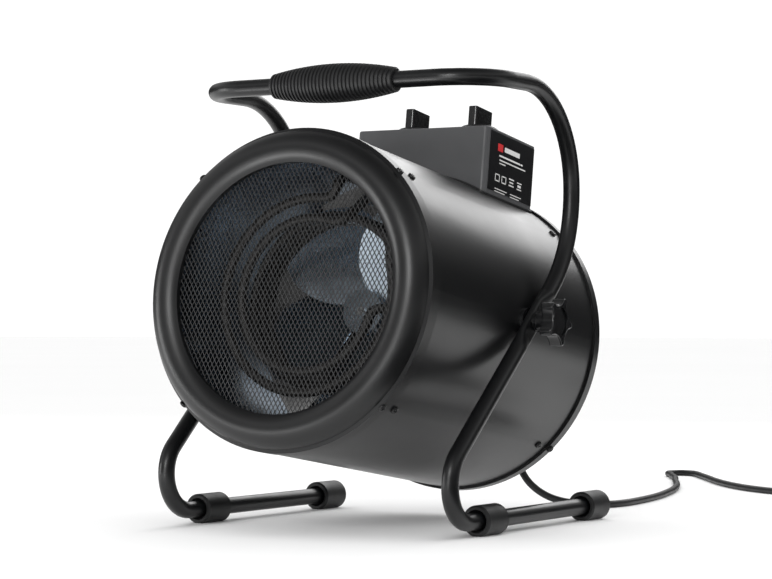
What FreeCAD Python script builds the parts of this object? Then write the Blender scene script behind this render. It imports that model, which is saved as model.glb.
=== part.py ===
import FreeCAD, Part
import math
import os

# Portable drum fan heater on a bent-tube stand, in millimetres.
# +Z is up and the hot-air outlet faces -Y. The origin lies on the floor, under the middle of the
# heater's length. The drum is modelled level, about its clamp pivot, and then tilted and lifted.

# ---- drum and its place on the stand ----
DRUM_RADIUS = 140.0
CASING_WALL = 0.8
DRUM_FRONT = 168.0            # casing's front edge, ahead of the pivot
DRUM_REAR = 145.0             # casing's rear edge, behind the pivot
PIVOT_Y = 18.0                # pivot line, behind the origin
DRUM_LIFT = 42.0              # drum's underside above the floor, while level
PIVOT_HEIGHT = DRUM_RADIUS + DRUM_LIFT
PIVOT_BELOW_AXIS = 2.5
TILT_DEG = 8.5                # nose up, as the heater is set

# ---- front bezel, grille and hot end ----
BEZEL_BAND = 0.6              # how far the bezel's band stands out from the casing
BEZEL_BAND_LENGTH = 14.0
BEZEL_DEPTH = 17.7            # crest of the rounded ring, ahead of the casing's edge
BEZEL_WALL = 1.2
BEZEL_WIDTH = 31.5
OUTLET_RADIUS = DRUM_RADIUS - BEZEL_WIDTH
GRILLE_THICKNESS = 1.0
MESH_WIDTH = 12.0
MESH_HEIGHT = 18.0
MESH_STRAND = 2.4
SHIELD_GAP = 14.0             # air space between the casing and the liner
SHIELD_RADIUS = DRUM_RADIUS - SHIELD_GAP
SHIELD_WALL = 0.6
SHIELD_LENGTH = 148.0
ELEMENT_DIAMETER = 8.5
ELEMENT_PLANE = 140.0         # front heating rings, ahead of the pivot
# Name, radius, number of turns begun, setback, setbacks of its two ends, and the angles of those ends
# clockwise from the top. A coil with several turns runs back from its first setback to its last.
ELEMENT_RINGS = (
    ("outer", 85.0, 1, (0.0, 0.0), (0.0, 0.0), (13.0, 64.0)),
    ("middle", 67.0, 1, (0.0, 0.0), (28.0, 28.0), (25.0, 99.0)),
    ("rear", 76.0, 3, (26.0, 64.0), (26.0, 64.0), (38.0, 51.0)),
)
TERMINAL_SPAN = (4.0, 108.0)  # plate that carries the ends, clockwise from the top
TERMINAL_INSET = 18.0         # from the liner to the elements' ends
TERMINAL_RADIUS = SHIELD_RADIUS - TERMINAL_INSET

# ---- fan and motor ----
FAN_RADIUS = 112.0
FAN_BLADES = 5
FAN_PLANE = 36.0              # middle of the blades, ahead of the pivot
BLADE_PITCH_DEG = 27.0
BLADE_START_DEG = 37.0        # middle of the first blade, clockwise from the top
BLADE_HALF_WIDTHS = (11.0, 47.0, 40.0)   # at the root, at the belly and at the tip
BLADE_SHEET = 1.2
HUB_RADIUS = 20.0
SHAFT_RADIUS = 4.0
MOTOR_RADIUS = 29.0
MOTOR_LENGTH = 50.0
MOTOR_FRONT = 2.0

# ---- rear ring and inlet grille ----
REAR_BAND = 2.4
REAR_BAND_LENGTH = 9.0
INLET_LIP = 11.0
INLET_RADIUS = DRUM_RADIUS - INLET_LIP
INLET_SHEET = 1.0
INLET_SLOT_ROWS = 5
INLET_SLOTS = 10

# ---- control box on top of the drum ----
BOX_WIDTH = 140.0
BOX_FRONT = 35.0              # front face, behind the pivot
BOX_LENGTH = 97.0
BOX_RISE = 48.0               # top of the box above the drum
BOX_TOP = DRUM_RADIUS + BOX_RISE      # above the pivot
BOX_WALL = 1.0
BOX_CORNER = 5.0
GASKET_HEIGHT = 2.0
KNOB_SPACING = 68.0
KNOB_RADIUS = 19.0
KNOB_SKIRT = 9.0
KNOB_BLADE = (9.6, 32.0, 18.0)
SPINDLE_RADIUS = 3.0
RUNNING_CLEARANCE = 0.05

# ---- stand: one bent tube ----
TUBE_DIAMETER = 15.0
TUBE_WALL = 1.2
FOOT_GAP = 3.0                # from the casing's side to the middle of the foot bars
LEG_GAP = 7.0                 # to the middle of the legs, at the pivot
HANDLE_GAP = 8.0              # to the middle of the handle's bends
FOOT_X = DRUM_RADIUS + FOOT_GAP
LEG_X = DRUM_RADIUS + LEG_GAP
HANDLE_X = DRUM_RADIUS + HANDLE_GAP
LEG_SLOPE_DEG = 40.0
FOOT_BEND = 33.0
BACK_Y = 77.0                 # rearmost stretch of the side loop, behind the pivot
BACK_BEND = 112.0
TOP_BEND = 90.0
HANDLE_Y = -93.0
HANDLE_RISE = 21.5            # handle above the box's top, with the drum level
HANDLE_HEIGHT = PIVOT_HEIGHT + BOX_TOP + HANDLE_RISE
HANDLE_BEND = 48.0
FLAT_THICKNESS = 7.0          # flattened stretch that the clamp passes through
FLAT_HALF = 20.0
FLAT_RUNOUT = 16.0

# ---- sleeves and grip ----
SLEEVE_RADIUS = 13.5
SLEEVE_LENGTH = 36.0
SLEEVE_FLAT = 0.5             # worn flat underneath, where the sleeve stands
FRONT_SLEEVE_Y = -97.0
REAR_SLEEVE_Y = 104.0
SLEEVE_END_WALL = 5.0
GRIP_LENGTH = 126.0
GRIP_END_RADIUS = 10.8
GRIP_MIDDLE_RADIUS = 17.3
GRIP_RIBS = 33
GRIP_RIB_DEPTH = 1.2

# ---- side clamps ----
STUD_RADIUS = 4.0
STUD_HOLE_CLEARANCE = 0.3
CLAMP_GAP = 0.2               # between the stand and the pieces that turn against it
SPACER_RADIUS = 12.0
WASHER_RADIUS = 9.0
WASHER_THICKNESS = 2.0
CLAMP_NECK_LENGTH = 10.5
CLAMP_NECK_RADIUS = 8.0
CLAMP_HEAD_LENGTH = 12.0
CLAMP_HEAD_RADIUS = 21.5
CLAMP_LOBES = 5
CLAMP_LOBE_EDGE = 2.0         # rounding along the lobes
CLAMP_FACE_EDGE = 1.2         # rounding around the head's two faces
CLAMP_DISH_RADIUS = 12.4

# ---- screws ----
SCREW_ANGLES = (45.0, 135.0, 225.0, 315.0)
FRONT_SCREW_SETBACK = 0.5     # bezel screws, behind the casing's front edge
SCREW_ROW_STEP = 21.0
SCREW_HEAD_RADIUS = 3.5
SCREW_HEAD_HEIGHT = 2.2
SCREW_SHANK_RADIUS = 1.6
SCREW_SHANK_LENGTH = 6.0

# ---- mains cord, lying behind the heater and coiled at its end ----
CORD_DIAMETER = 7.0
GLAND_X = 18.0
GLAND_RISE = 18.0
GLAND_HEIGHT = DRUM_RADIUS + GLAND_RISE      # above the pivot
GLAND_LENGTH = 30.0
CORD_START_RUN = 46.0
CORD_ROUTE = (
    (17, 270, 256), (15, 268, 196), (14, 256, 138), (15, 241, 80), (24, 227, 36), (48, 240, 10),
    (84, 261, 3.5), (101, 298, 3.5), (97, 353, 3.5), (88, 413, 3.5), (73, 473, 3.5), (55, 533, 3.5),
    (28, 602, 3.5), (-3, 665, 3.5), (-25, 717, 3.5), (-45, 750, 3.5), (-55, 772, 3.5), (-67, 786, 3.5),
    (-67, 800, 3.5), (-57, 810, 3.5), (-43, 807, 3.5), (-31, 794, 3.5), (-16, 769, 3.5), (9, 731, 3.5),
    (39, 682, 3.5), (74, 633, 3.5), (114, 587, 3.5), (156, 553, 3.5), (191, 538, 3.5),
)
COIL_CENTRE = (226.0, 569.0)
COIL_RADIUS = 41.0
COIL_TURNS_HIGH = 3
PLUG_START = (264.7, 540.0, 18.5)
PLUG_HEADING = (0.8616, 0.5075)
PLUG_RADIUS = 18.5
PLUG_SLEEVE_RADII = (5.0, 7.5)
PLUG_SLEEVE_LENGTH = 18.0
PLUG_NECK_RADIUS = 9.0
PLUG_TAPER_LENGTH = 14.0
PLUG_FACE_LENGTH = 18.0
PIN_RADIUS = 2.4
PIN_LENGTH = 19.0
PIN_SPACING = 19.0

Vector = FreeCAD.Vector
X_AXIS = Vector(1, 0, 0)
Y_AXIS = Vector(0, 1, 0)
Z_AXIS = Vector(0, 0, 1)
SIDES = (("left", -1), ("right", 1))


# ---------------------------------------------------------------- helpers

def write(node, shape):
    """Write one sub-part as a STEP file named after its node."""
    if not shape.isValid() or shape.Volume <= 0:
        raise ValueError("bad solid: " + node)
    shape.exportStep("parts/" + node + ".step")


def write_standing(node, shape):
    """Write a sub-part of the stand, which is modelled above the floor with the pivot at y = 0."""
    placed = shape.copy()
    placed.translate(Vector(0, PIVOT_Y, 0))
    write(node, placed)


def write_on_drum(node, shape):
    """Tilt a sub-part of the level drum about the pivot, lift it into place and write it."""
    placed = shape.copy()
    placed.rotate(Vector(0, 0, 0), X_AXIS, -TILT_DEG)
    placed.translate(Vector(0, PIVOT_Y, PIVOT_HEIGHT))
    write(node, placed)


def drum_point(x, y, height):
    """A point of the level drum, in the row's frame."""
    tilt = FreeCAD.Rotation(X_AXIS, -TILT_DEG)
    return tilt.multVec(Vector(x, y, height)) + Vector(0, PIVOT_Y, PIVOT_HEIGHT)


def turned(outline):
    """Revolve an outline of (radius, ahead of the pivot) about the drum's axis.

    A point with three values starts an arc: the third value is its middle point.
    """
    points = [Vector(p[0], -p[1], PIVOT_BELOW_AXIS) for p in outline]
    edges = []
    for i, point in enumerate(points):
        following = points[(i + 1) % len(points)]
        if len(outline[i]) == 3:
            middle = Vector(outline[i][2][0], -outline[i][2][1], PIVOT_BELOW_AXIS)
            edges.append(Part.Arc(point, middle, following).toShape())
        else:
            edges.append(Part.makeLine(point, following))
    face = Part.Face(Part.Wire(edges))
    return face.revolve(Vector(0, 0, PIVOT_BELOW_AXIS), Y_AXIS, 360)


def band(inner, outer, front, rear):
    """A plain ring about the drum's axis, between two distances ahead of the pivot."""
    return turned([(inner, rear), (outer, rear), (outer, front), (inner, front)])


def disc(radius, front, rear):
    """A solid disc about the drum's axis."""
    return Part.makeCylinder(radius, front - rear, Vector(0, -front, PIVOT_BELOW_AXIS), Y_AXIS)


def about_axis(shape, angle_deg):
    """Turn a shape about the drum's axis, clockwise as seen from the front."""
    placed = shape.copy()
    placed.rotate(Vector(0, 0, PIVOT_BELOW_AXIS), Y_AXIS, angle_deg)
    return placed


def radial_cylinder(radius, start, length, angle_deg, ahead):
    """A cylinder pointing out from the drum's axis at one angle from the top."""
    base = Vector(0, -ahead, PIVOT_BELOW_AXIS + start)
    return about_axis(Part.makeCylinder(radius, length, base, Z_AXIS), angle_deg)


def block(x0, x1, y0, y1, z0, z1):
    return Part.makeBox(x1 - x0, y1 - y0, z1 - z0, Vector(x0, y0, z0))


def rounded_path(points, radii):
    """A wire of straight runs joined by tangent arcs, one radius for each inner corner."""
    edges = []
    start = points[0]
    for i in range(1, len(points) - 1):
        back = (points[i - 1] - points[i]).normalize()
        onward = (points[i + 1] - points[i]).normalize()
        half_turn = (math.pi - back.getAngle(onward)) / 2
        tangent = radii[i - 1] * math.tan(half_turn)
        to_middle = (back + onward).normalize()
        arc_start = points[i] + back * tangent
        arc_end = points[i] + onward * tangent
        centre = points[i] + to_middle * (radii[i - 1] / math.cos(half_turn))
        arc_middle = centre - to_middle * radii[i - 1]
        if (arc_start - start).Length > 1e-4:
            edges.append(Part.makeLine(start, arc_start))
        edges.append(Part.Arc(arc_start, arc_middle, arc_end).toShape())
        start = arc_end
    edges.append(Part.makeLine(start, points[-1]))
    return Part.Wire(edges)


def swept(path, radius):
    """A round solid along a path."""
    first = path.Edges[0]
    start = first.valueAt(first.FirstParameter)
    heading = first.tangentAt(first.FirstParameter)
    section = Part.Wire([Part.makeCircle(radius, start, heading)])
    return path.makePipeShell([section], True, False)


# ---------------------------------------------------------------- stand

LEG_DIRECTION = Vector(0, math.cos(math.radians(LEG_SLOPE_DEG)), math.sin(math.radians(LEG_SLOPE_DEG)))
LEG_NORMAL = Vector(0, -LEG_DIRECTION.z, LEG_DIRECTION.y)
BAR_HEIGHT = SLEEVE_RADIUS - SLEEVE_FLAT


def leg_point(distance, side):
    """A point on the leg's straight stretch, measured upwards from the pivot."""
    return Vector(side * LEG_X, 0, PIVOT_HEIGHT) + LEG_DIRECTION * distance


def lower_path(side):
    """Foot bar, front bend and lower leg, up to the flattened stretch."""
    rise = PIVOT_HEIGHT - BAR_HEIGHT
    corner_y = -rise / math.tan(math.radians(LEG_SLOPE_DEG))
    tube_end = REAR_SLEEVE_Y + SLEEVE_LENGTH - SLEEVE_END_WALL
    points = [
        Vector(side * FOOT_X, tube_end, BAR_HEIGHT),
        Vector(side * FOOT_X, corner_y, BAR_HEIGHT),
        leg_point(-FLAT_HALF - FLAT_RUNOUT - 8, side),
        leg_point(-FLAT_HALF - FLAT_RUNOUT, side),
    ]
    return rounded_path(points, [FOOT_BEND, 400.0])


def upper_path():
    """From one flattened stretch over the handle to the other."""
    half = []
    for side in (-1, 1):
        half.append([
            leg_point(FLAT_HALF + FLAT_RUNOUT, side),
            leg_point(BACK_Y / LEG_DIRECTION.y, side),
            Vector(side * HANDLE_X, BACK_Y, HANDLE_HEIGHT),
            Vector(side * HANDLE_X, HANDLE_Y, HANDLE_HEIGHT),
        ])
    points = half[0] + half[1][::-1]
    return rounded_path(points, [BACK_BEND, TOP_BEND, HANDLE_BEND, HANDLE_BEND, TOP_BEND, BACK_BEND])


def leg_section(distance, side, thickness, width):
    """The leg's outline across its length: round, or flattened with rounded edges."""
    centre = leg_point(distance, side)
    if width - thickness < 1e-6:
        reach = thickness / 2 * math.sqrt(0.5)
        half_flat, half_thick = reach, reach
    else:
        half_flat, half_thick = (width - thickness) / 2, thickness / 2
    corners = [centre + LEG_NORMAL * (a * half_flat) + X_AXIS * (b * half_thick)
               for a, b in ((1, 1), (1, -1), (-1, -1), (-1, 1))]
    over = centre + LEG_NORMAL * (width / 2)
    under = centre - LEG_NORMAL * (width / 2)
    inner = centre - X_AXIS * (thickness / 2)
    outer = centre + X_AXIS * (thickness / 2)
    middles = (over, inner, under, outer)
    return Part.Wire([Part.Arc(corners[i], middles[i], corners[(i + 1) % 4]).toShape()
                      if width - thickness < 1e-6 or i % 2 == 0
                      else Part.makeLine(corners[i], corners[(i + 1) % 4]) for i in range(4)])


def stand_solid(inset):
    """The whole bent tube as one solid, its surface moved in by an inset."""
    diameter = TUBE_DIAMETER - 2 * inset
    flat_width = FLAT_THICKNESS + math.pi * (TUBE_DIAMETER - FLAT_THICKNESS) / 2 - 2 * inset
    flat = FLAT_THICKNESS - 2 * inset
    pieces = [swept(upper_path(), diameter / 2)]
    for name, side in SIDES:
        pieces.append(swept(lower_path(side), diameter / 2))
        stations = (
            (-FLAT_HALF - FLAT_RUNOUT, diameter, diameter), (-FLAT_HALF, flat, flat_width),
            (FLAT_HALF, flat, flat_width), (FLAT_HALF + FLAT_RUNOUT, diameter, diameter),
        )
        for low, high in zip(stations, stations[1:]):
            sections = [leg_section(s[0], side, s[1], s[2]) for s in (low, high)]
            pieces.append(Part.makeLoft(sections, True, True))
    return pieces[0].fuse(pieces[1:]).removeSplitter()


def make_stand_tube():
    tube = stand_solid(0.0).cut(stand_solid(TUBE_WALL))
    for name, side in SIDES:
        hole = Part.makeCylinder(STUD_RADIUS + STUD_HOLE_CLEARANCE, 4 * FLAT_THICKNESS,
                                 Vector(side * LEG_X - 2 * FLAT_THICKNESS, 0, PIVOT_HEIGHT), X_AXIS)
        tube = tube.cut(hole)
    return tube


def make_grip():
    """Barrel-shaped rubber grip with fine ribs around it."""
    pitch = GRIP_LENGTH / GRIP_RIBS
    bore = TUBE_DIAMETER / 2

    def crest(x):
        swell = 1 - (2 * x / GRIP_LENGTH) ** 2
        return GRIP_END_RADIUS + (GRIP_MIDDLE_RADIUS - GRIP_END_RADIUS) * swell

    outline = [Vector(-GRIP_LENGTH / 2, 0, bore)]
    for rib in range(GRIP_RIBS):
        x = -GRIP_LENGTH / 2 + rib * pitch
        for share, depth in ((0.0, GRIP_RIB_DEPTH), (0.2, GRIP_RIB_DEPTH), (0.4, 0.0), (0.8, 0.0)):
            place = x + share * pitch
            outline.append(Vector(place, 0, crest(place) - depth))
    outline.append(Vector(GRIP_LENGTH / 2, 0, GRIP_END_RADIUS - GRIP_RIB_DEPTH))
    outline.append(Vector(GRIP_LENGTH / 2, 0, bore))
    outline.append(outline[0])
    grip = Part.Face(Part.makePolygon(outline)).revolve(Vector(0, 0, 0), X_AXIS, 360)
    grip.translate(Vector(0, HANDLE_Y, HANDLE_HEIGHT))
    return grip


def make_sleeve(side, y, blind):
    """Rubber foot sleeve: open at both ends at the front, closed at the back of the bar."""
    x = side * FOOT_X
    sleeve = Part.makeCylinder(SLEEVE_RADIUS, SLEEVE_LENGTH, Vector(x, y, BAR_HEIGHT), Y_AXIS)
    sleeve = sleeve.makeChamfer(1.5, [e for e in sleeve.Edges if e.Closed])
    depth = SLEEVE_LENGTH - SLEEVE_END_WALL if blind else SLEEVE_LENGTH
    sleeve = sleeve.cut(Part.makeCylinder(TUBE_DIAMETER / 2, depth, Vector(x, y, BAR_HEIGHT), Y_AXIS))
    flare = Part.makeCone(TUBE_DIAMETER / 2 + 2.5, TUBE_DIAMETER / 2, 4, Vector(x, y, BAR_HEIGHT), Y_AXIS)
    under = block(x - SLEEVE_RADIUS, x + SLEEVE_RADIUS, y, y + SLEEVE_LENGTH, -SLEEVE_FLAT * 4, 0)
    return sleeve.cut(flare).cut(under)


# ---------------------------------------------------------------- drum casing and front

CASING_INNER = DRUM_RADIUS - CASING_WALL
BAND_RADIUS = DRUM_RADIUS + BEZEL_BAND
LIP_END = DRUM_FRONT + 7.5
FRONT_SCREW_AHEAD = DRUM_FRONT - FRONT_SCREW_SETBACK
REAR_SCREW_AHEAD = -(DRUM_REAR - REAR_BAND_LENGTH / 2 + 1)
SCREW_ROWS = (
    ("bezel", FRONT_SCREW_AHEAD, BAND_RADIUS),
    ("casing_front", FRONT_SCREW_AHEAD - SCREW_ROW_STEP, DRUM_RADIUS),
    ("casing_rear", REAR_SCREW_AHEAD + SCREW_ROW_STEP, DRUM_RADIUS),
    ("rear_ring", REAR_SCREW_AHEAD, DRUM_RADIUS + REAR_BAND),
)
SCREW_NAMES = ("top_right", "bottom_right", "bottom_left", "top_left")


def screw_holes(shape, rows):
    """Drill the holes of the named screw rows through a drum sub-part."""
    for name, ahead, seat in SCREW_ROWS:
        if name in rows:
            for angle in SCREW_ANGLES:
                shape = shape.cut(radial_cylinder(SCREW_SHANK_RADIUS, seat - SCREW_SHANK_LENGTH - 2,
                                                  SCREW_SHANK_LENGTH + 4, angle, ahead))
    return shape


def make_screw(angle, ahead, seat):
    """Domed self-tapping screw with a cross recess, pointing at the drum's axis."""
    base = PIVOT_BELOW_AXIS + seat
    head = Part.makeCylinder(SCREW_HEAD_RADIUS, SCREW_HEAD_HEIGHT, Vector(0, -ahead, base), Z_AXIS)
    head = head.makeFillet(SCREW_HEAD_HEIGHT * 0.6, [head.Edges[0]])
    recess = 0.4 * SCREW_HEAD_RADIUS
    for long_x, long_y in ((1.5, 0.35), (0.35, 1.5)):
        slot = block(-recess * long_x, recess * long_x, -ahead - recess * long_y, -ahead + recess * long_y,
                     base + SCREW_HEAD_HEIGHT * 0.5, base + SCREW_HEAD_HEIGHT * 2)
        head = head.cut(slot)
    shank = Part.makeCylinder(SCREW_SHANK_RADIUS, SCREW_SHANK_LENGTH,
                              Vector(0, -ahead, base - SCREW_SHANK_LENGTH), Z_AXIS)
    return about_axis(head.fuse(shank), angle)


def make_casing():
    casing = band(CASING_INNER, DRUM_RADIUS, DRUM_FRONT, -DRUM_REAR)
    hole = Part.makeCylinder(STUD_RADIUS + STUD_HOLE_CLEARANCE, 4 * DRUM_RADIUS,
                             Vector(-2 * DRUM_RADIUS, 0, 0), X_AXIS)
    window = block(-BOX_WIDTH / 4, BOX_WIDTH / 4, BOX_FRONT + BOX_LENGTH / 4, BOX_FRONT + 3 * BOX_LENGTH / 4,
                   DRUM_RADIUS / 2, 2 * DRUM_RADIUS)
    return screw_holes(casing.cut(hole).cut(window), ("bezel", "casing_front", "casing_rear", "rear_ring"))


def make_bezel():
    """Rounded pressed ring whose band slips over the casing's front edge."""
    crest_radius = (DRUM_RADIUS + OUTLET_RADIUS) / 2 - 1.75
    crest = DRUM_FRONT + BEZEL_DEPTH
    rim = DRUM_FRONT + 3.2
    rim_radius = DRUM_RADIUS - 2.2
    lip_front = DRUM_FRONT + 12.0
    outline = [
        (DRUM_RADIUS, DRUM_FRONT - BEZEL_BAND_LENGTH + 2),
        (BAND_RADIUS, DRUM_FRONT - BEZEL_BAND_LENGTH + 2),
        (BAND_RADIUS, DRUM_FRONT + 1.4),
        (rim_radius, rim, (crest_radius, crest)),
        (OUTLET_RADIUS, lip_front),
        (OUTLET_RADIUS, LIP_END),
        (OUTLET_RADIUS + BEZEL_WALL, LIP_END),
        (OUTLET_RADIUS + BEZEL_WALL, lip_front - BEZEL_WALL / 2, (crest_radius, crest - BEZEL_WALL)),
        (rim_radius - BEZEL_WALL, rim - BEZEL_WALL / 2),
        (DRUM_RADIUS, DRUM_FRONT + 0.3),
    ]
    return screw_holes(turned(outline), ("bezel",))


GRILLE_RADIUS = OUTLET_RADIUS + 9.0


def make_front_grille():
    """Expanded mesh disc behind the bezel's lip: a face with diamond openings, thickened."""
    rear = LIP_END - GRILLE_THICKNESS
    rim = OUTLET_RADIUS - 1.0
    half_width = (MESH_WIDTH - MESH_STRAND) / 2
    half_height = half_width * MESH_HEIGHT / MESH_WIDTH
    holes = []
    rows = int(GRILLE_RADIUS / MESH_HEIGHT) * 2 + 1
    columns = int(GRILLE_RADIUS / MESH_WIDTH) + 1
    for row in range(-rows, rows + 1):
        for column in range(-columns, columns + 1):
            x = (column + (row % 2) / 2) * MESH_WIDTH
            z = row * MESH_HEIGHT / 2
            if math.hypot(abs(x) + half_width, abs(z) + half_height) < rim + half_width:
                tips = ((x - half_width, z), (x, z + half_height), (x + half_width, z), (x, z - half_height))
                corners = [Vector(a, -rear, PIVOT_BELOW_AXIS + b) for a, b in tips]
                holes.append(Part.makePolygon(corners + [corners[0]]))
    edge = Part.Wire([Part.makeCircle(GRILLE_RADIUS, Vector(0, -rear, PIVOT_BELOW_AXIS), Y_AXIS)])
    sheet = Part.makeFace([edge] + holes, "Part::FaceMakerBullseye")
    return sheet.extrude(Vector(0, -GRILLE_THICKNESS, 0))


def make_heat_shield():
    """Galvanised liner around the heating elements, flanged out to the casing."""
    front = DRUM_FRONT - 5.0
    inner = SHIELD_RADIUS - SHIELD_WALL
    return turned([
        (inner, front), (inner, front - SHIELD_LENGTH), (SHIELD_RADIUS, front - SHIELD_LENGTH),
        (SHIELD_RADIUS, front - SHIELD_WALL), (CASING_INNER, front - SHIELD_WALL), (CASING_INNER, front),
    ])


# ---------------------------------------------------------------- heating elements

TERMINAL_PLATE = ELEMENT_PLANE - 78.0


def on_face(radius, angle_deg, ahead):
    """A point of the drum by radius and clockwise angle from the top."""
    angle = math.radians(angle_deg)
    return Vector(radius * math.sin(angle), -ahead, PIVOT_BELOW_AXIS + radius * math.cos(angle))


def make_element(radius, turns, setbacks, end_setbacks, ends):
    """Sheathed tubular element: turns whose two ends turn out and run back to the terminals."""
    first, last = ends
    steps = 12 * turns
    step = (360 * turns + first - last) / steps
    corner_radius = radius / math.cos(math.radians(step / 2))
    points = [on_face(TERMINAL_RADIUS, last, TERMINAL_PLATE - 6),
              on_face(TERMINAL_RADIUS, last, ELEMENT_PLANE - end_setbacks[0])]
    radii = [12.0]
    for i in range(steps + 1):
        setback = setbacks[0] + (setbacks[1] - setbacks[0]) * i / steps
        points.append(on_face(corner_radius, last + i * step, ELEMENT_PLANE - setback))
        radii.append(10.0 if i in (0, steps) else 0.98 * radius)
    points.append(on_face(TERMINAL_RADIUS, first, ELEMENT_PLANE - end_setbacks[1]))
    points.append(on_face(TERMINAL_RADIUS, first, TERMINAL_PLATE - 6))
    radii.append(12.0)
    return swept(rounded_path(points, radii), ELEMENT_DIAMETER / 2)


def make_terminal_plate():
    """Bracket on the liner that carries the six element ends."""
    plate = band(TERMINAL_RADIUS - 14, SHIELD_RADIUS - SHIELD_WALL, TERMINAL_PLATE, TERMINAL_PLATE - 2)
    wedge_reach = 2 * SHIELD_RADIUS
    corners = [on_face(0, 0, TERMINAL_PLATE + 1)]
    corners += [on_face(wedge_reach, angle, TERMINAL_PLATE + 1) for angle in TERMINAL_SPAN]
    wedge = Part.Face(Part.makePolygon(corners + [corners[0]])).extrude(Vector(0, 4, 0))
    plate = plate.common(wedge)
    for ring in ELEMENT_RINGS:
        for angle in ring[-1]:
            hole = Part.makeCylinder(ELEMENT_DIAMETER / 2, 6, on_face(TERMINAL_RADIUS, angle, TERMINAL_PLATE + 2),
                                     Y_AXIS)
            plate = plate.cut(hole)
    return plate


# ---------------------------------------------------------------- fan and motor

def make_fan():
    """Pressed impeller: wide round-edged blades, set at a pitch around a hub."""
    hub_rear = FAN_PLANE - 11
    hub = disc(HUB_RADIUS, FAN_PLANE + 11, hub_rear)
    root = HUB_RADIUS - 4
    shoulder = FAN_RADIUS * 0.86
    half_root, half_belly, half_tip = BLADE_HALF_WIDTHS
    left_root, right_root = Vector(-half_root, 0, root), Vector(half_root, 0, root)
    left_tip, right_tip = Vector(-half_tip, 0, shoulder), Vector(half_tip, 0, shoulder)
    edges = [Part.Arc(left_root, Vector(-half_belly, 0, FAN_RADIUS * 0.6), left_tip).toShape(),
             Part.Arc(left_tip, Vector(0, 0, FAN_RADIUS), right_tip).toShape(),
             Part.Arc(right_tip, Vector(half_belly, 0, FAN_RADIUS * 0.6), right_root).toShape(),
             Part.makeLine(right_root, left_root)]
    blade = Part.Face(Part.Wire(edges)).extrude(Vector(0, BLADE_SHEET, 0))
    blade.rotate(Vector(0, 0, 0), Z_AXIS, BLADE_PITCH_DEG)
    blade.translate(Vector(0, -FAN_PLANE, PIVOT_BELOW_AXIS))
    blades = [about_axis(blade, BLADE_START_DEG + i * 360 / FAN_BLADES) for i in range(FAN_BLADES)]
    fan = hub.fuse(blades)
    return fan.cut(disc(SHAFT_RADIUS, FAN_PLANE + 12, hub_rear - 1))


def make_shaft():
    return disc(SHAFT_RADIUS, FAN_PLANE + 14, MOTOR_FRONT - 14)


def make_motor():
    body = disc(MOTOR_RADIUS, MOTOR_FRONT - 6, MOTOR_FRONT - MOTOR_LENGTH)
    body = body.makeFillet(5, [e for e in body.Edges if e.Closed])
    boss = disc(14, MOTOR_FRONT, MOTOR_FRONT - 12)
    bore = disc(SHAFT_RADIUS + RUNNING_CLEARANCE, MOTOR_FRONT + 1, MOTOR_FRONT - 15)
    return body.fuse(boss).cut(bore)


def make_motor_bracket():
    """Clamp ring around the motor, with four arms to the casing."""
    middle = MOTOR_FRONT - MOTOR_LENGTH / 2
    ring = band(MOTOR_RADIUS, MOTOR_RADIUS + 2.5, middle + 9, middle - 9)
    arm = block(-9, 9, -middle - 1.25, -middle + 1.25, PIVOT_BELOW_AXIS + MOTOR_RADIUS + 1,
                PIVOT_BELOW_AXIS + DRUM_RADIUS)
    arms = [about_axis(arm, 45 + 90 * i) for i in range(4)]
    return ring.fuse(arms).common(disc(CASING_INNER, middle + 20, middle - 20))


# ---------------------------------------------------------------- rear

def make_rear_ring():
    front = -(DRUM_REAR - REAR_BAND_LENGTH + 1)
    rear = -(DRUM_REAR + REAR_BAND)
    outer = DRUM_RADIUS + REAR_BAND
    ring = turned([
        (DRUM_RADIUS, front), (outer, front), (outer, rear + 1.0), (outer - 1.0, rear), (INLET_RADIUS, rear),
        (INLET_RADIUS, -DRUM_REAR), (DRUM_RADIUS, -DRUM_REAR),
    ])
    return screw_holes(ring, ("rear_ring",))


def sector_wire(inner, outer, start, end, y):
    """Outline of one slot of the inlet grille."""
    corners = [on_face(inner, start, -y), on_face(outer, start, -y), on_face(outer, end, -y),
               on_face(inner, end, -y)]
    middle = (start + end) / 2
    return Part.Wire([
        Part.makeLine(corners[0], corners[1]),
        Part.Arc(corners[1], on_face(outer, middle, -y), corners[2]).toShape(),
        Part.makeLine(corners[2], corners[3]),
        Part.Arc(corners[3], on_face(inner, middle, -y), corners[0]).toShape(),
    ])


def make_rear_grille():
    """Punched inlet plate with rings of curved slots, held inside the casing."""
    y = DRUM_REAR - INLET_SHEET
    pitch = (INLET_RADIUS - 34) / INLET_SLOT_ROWS
    slots = []
    for row in range(INLET_SLOT_ROWS):
        inner = 30 + row * pitch
        for i in range(INLET_SLOTS):
            start = i * 360 / INLET_SLOTS + 4 + row * 6
            slots.append(sector_wire(inner, inner + pitch * 0.62, start, start + 360 / INLET_SLOTS - 8, y))
    edge = Part.Wire([Part.makeCircle(CASING_INNER, on_face(0, 0, -y), Y_AXIS)])
    return Part.makeFace([edge] + slots, "Part::FaceMakerBullseye").extrude(Vector(0, INLET_SHEET, 0))


# ---------------------------------------------------------------- control box

BOX_REAR = BOX_FRONT + BOX_LENGTH
BOX_MIDDLE = BOX_FRONT + BOX_LENGTH / 2
BOX_SEAT_RADIUS = DRUM_RADIUS + GASKET_HEIGHT
KNOBS = (("thermostat", -KNOB_SPACING / 2), ("switch", KNOB_SPACING / 2))


def box_prism(inset, low, high, corner):
    """A block with the control box's outline, moved in by an inset, with round upright edges."""
    prism = block(-BOX_WIDTH / 2 + inset, BOX_WIDTH / 2 - inset, BOX_FRONT + inset, BOX_REAR - inset, low, high)
    upright = [e for e in prism.Edges if abs(e.tangentAt(e.FirstParameter).z) > 0.9]
    return prism.makeFillet(corner, upright)


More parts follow.
